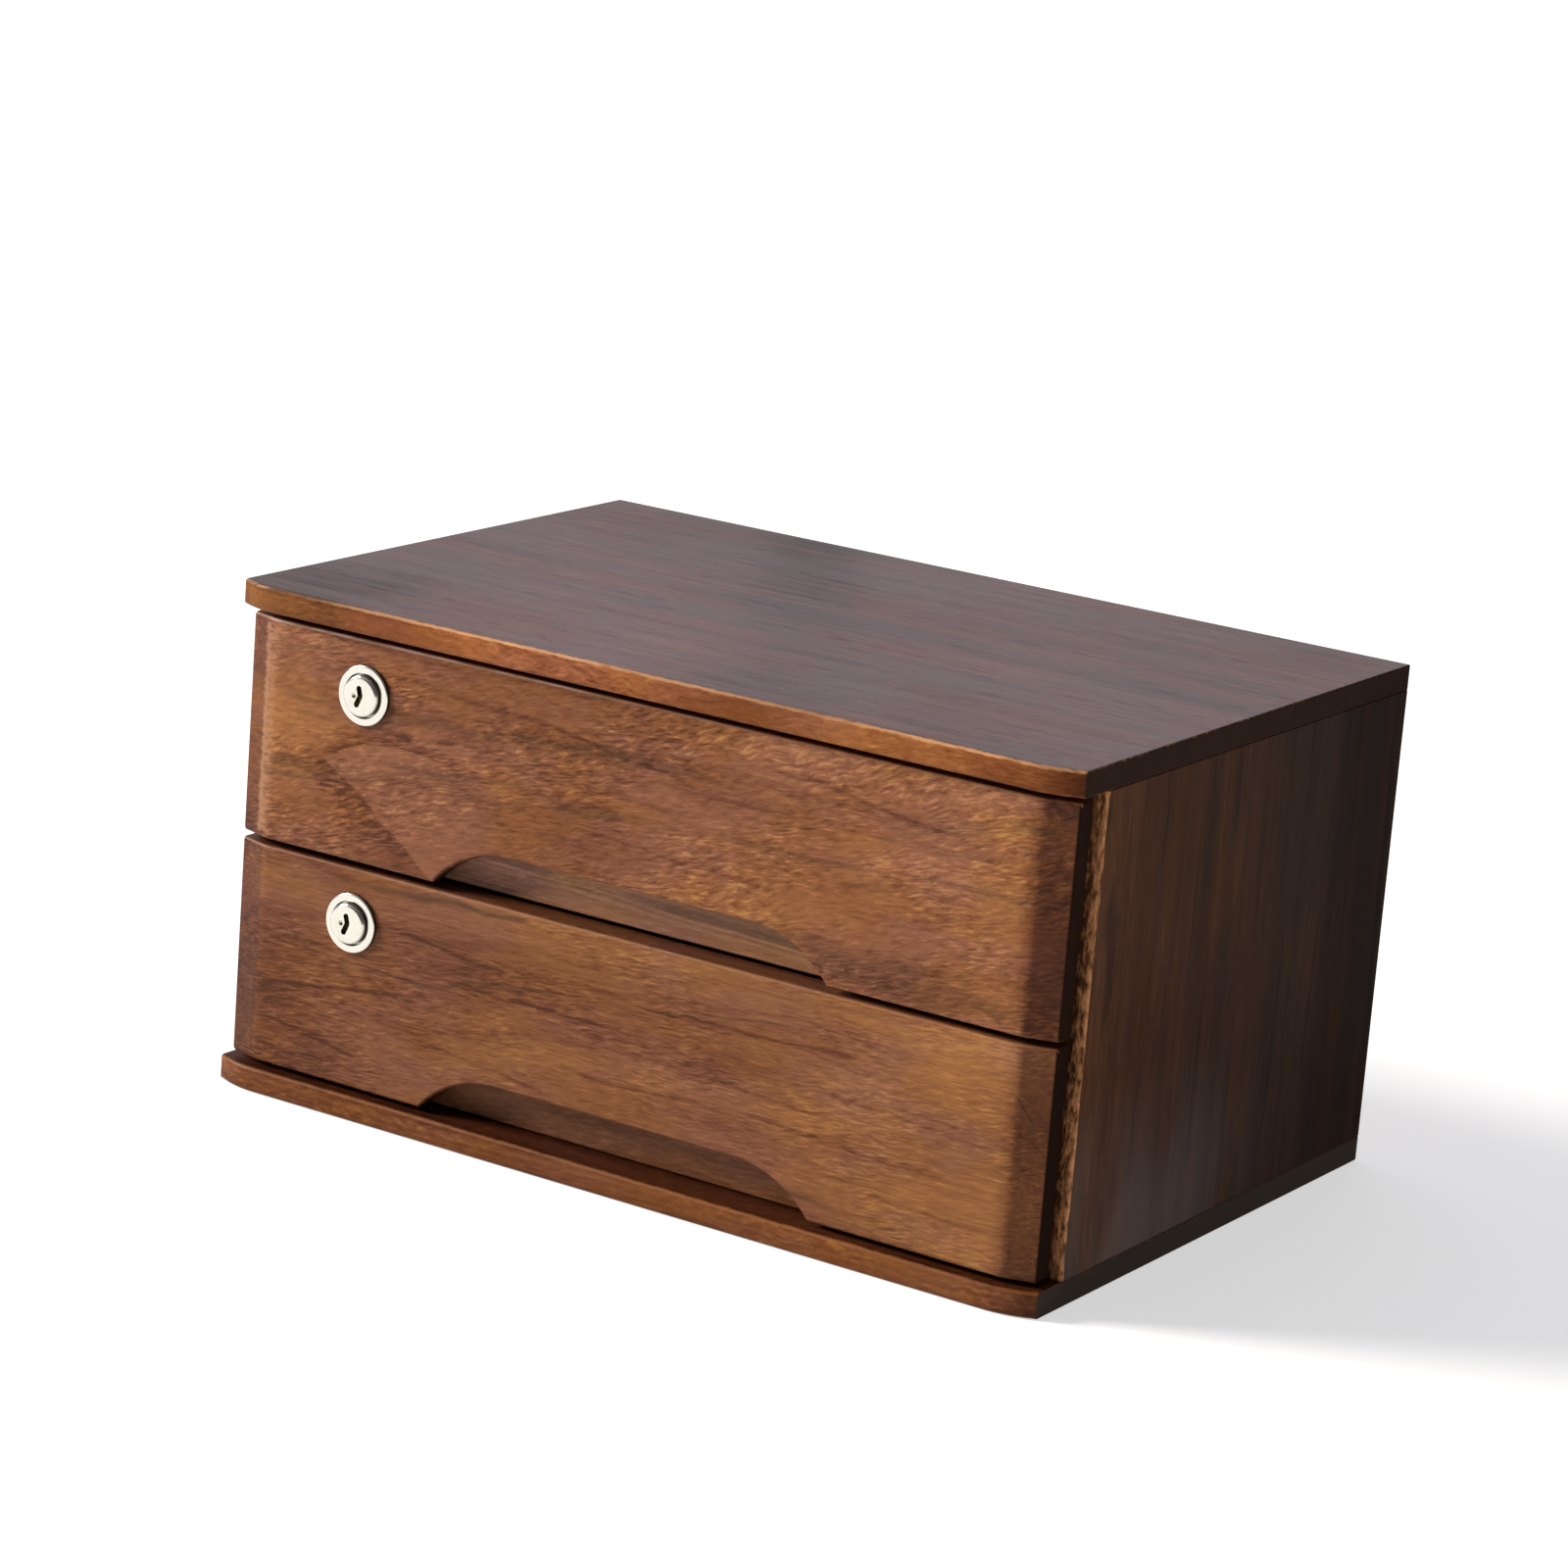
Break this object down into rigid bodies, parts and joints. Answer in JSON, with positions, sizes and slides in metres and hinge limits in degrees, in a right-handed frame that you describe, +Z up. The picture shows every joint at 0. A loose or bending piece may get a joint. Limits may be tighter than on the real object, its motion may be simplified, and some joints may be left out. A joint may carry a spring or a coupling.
{
  "type": "lockable drawer cabinet",
  "caption": "Low wooden desktop cabinet with stacked full-width drawers, each with a scooped finger pull under its front and a round key lock at its upper left.",
  "frame": {"origin": "centre of the cabinet's footprint, on the surface that it stands on", "axes": "+X along the width, to the right as seen from the front; +Y to the back, so the drawers open towards -Y; +Z up"},
  "size_m": [0.334, 0.227, 0.18],
  "materials": {
    "front_wood": "satin lacquer over warm red-brown stain, figured grain along the width",
    "board_wood": "satin lacquer over dark brown stain, grain along the width",
    "side_wood": "satin lacquer over very dark brown stain, grain upright, paler worn front edge",
    "inner_wood": "thinly stained wood, matt",
    "box_wood": "grey-brown stained wood, matt",
    "plywood": "thin plywood, matt",
    "dowel_wood": "beech dowel rod",
    "nickel": "polished nickel plate",
    "lock_steel": "zinc-plated pressed steel",
    "steel": "zinc-plated fasteners and strike plates",
    "brass": "stamped brass",
    "felt": "dark felt"
  },
  "bodies": {
    "carcass": {"bottom_board": "board_wood", "top_board": "board_wood", "left_side_panel": "side_wood", "right_side_panel": "side_wood", "middle_shelf": "inner_wood", "top_rail": "inner_wood", "back_panel": "plywood", "carcass_dowels": "dowel_wood", "back_panel_nails": "steel", "back_bumpers": "felt", "upper_strike_plate": "steel", "lower_strike_plate": "steel", "strike_screws": "steel"},
    "upper_drawer": {"upper_drawer_front": "front_wood", "upper_box_front": "box_wood", "upper_left_side": "box_wood", "upper_right_side": "box_wood", "upper_box_back": "box_wood", "upper_drawer_bottom": "plywood", "upper_box_nails": "steel", "upper_front_screws": "steel", "upper_lock_bezel": "nickel", "upper_lock_case": "lock_steel", "upper_lock_cover": "lock_steel", "upper_lock_screws": "steel"},
    "upper_lock_plug": {"upper_lock_plug": "nickel", "upper_lock_wafers": "brass"},
    "upper_lock_bolt": {"upper_lock_bolt": "lock_steel"},
    "lower_drawer": {"lower_drawer_front": "front_wood", "lower_box_front": "box_wood", "lower_left_side": "box_wood", "lower_right_side": "box_wood", "lower_box_back": "box_wood", "lower_drawer_bottom": "plywood", "lower_box_nails": "steel", "lower_front_screws": "steel", "lower_lock_bezel": "nickel", "lower_lock_case": "lock_steel", "lower_lock_cover": "lock_steel", "lower_lock_screws": "steel"},
    "lower_lock_plug": {"lower_lock_plug": "nickel", "lower_lock_wafers": "brass"},
    "lower_lock_bolt": {"lower_lock_bolt": "lock_steel"}
  },
  "joints": [
    {"name": "upper_drawer_slide", "type": "slide", "parent": "carcass", "child": "upper_drawer", "axis": [0, -1, 0], "range_m": [0, 0.15]},
    {"name": "upper_key_turn", "type": "hinge", "parent": "upper_drawer", "child": "upper_lock_plug", "pos_m": [-0.112, -0.1099, 0.1496], "axis": [0, 1, 0], "range_deg": [0, 90]},
    {"name": "upper_bolt_lift", "type": "slide", "parent": "upper_drawer", "child": "upper_lock_bolt", "axis": [0, 0, 1], "range_m": [0, 0.00608]},
    {"name": "lower_drawer_slide", "type": "slide", "parent": "carcass", "child": "lower_drawer", "axis": [0, -1, 0], "range_m": [0, 0.15]},
    {"name": "lower_key_turn", "type": "hinge", "parent": "lower_drawer", "child": "lower_lock_plug", "pos_m": [-0.112, -0.1099, 0.0695], "axis": [0, 1, 0], "range_deg": [0, 90]},
    {"name": "lower_bolt_lift", "type": "slide", "parent": "lower_drawer", "child": "lower_lock_bolt", "axis": [0, 0, 1], "range_m": [0, 0.00608]}
  ],
  "couplings": [
    {"joint": "upper_bolt_lift", "follows": "upper_key_turn", "m_per_rad": 0.0038714},
    {"joint": "lower_bolt_lift", "follows": "lower_key_turn", "m_per_rad": 0.0038714}
  ]
}
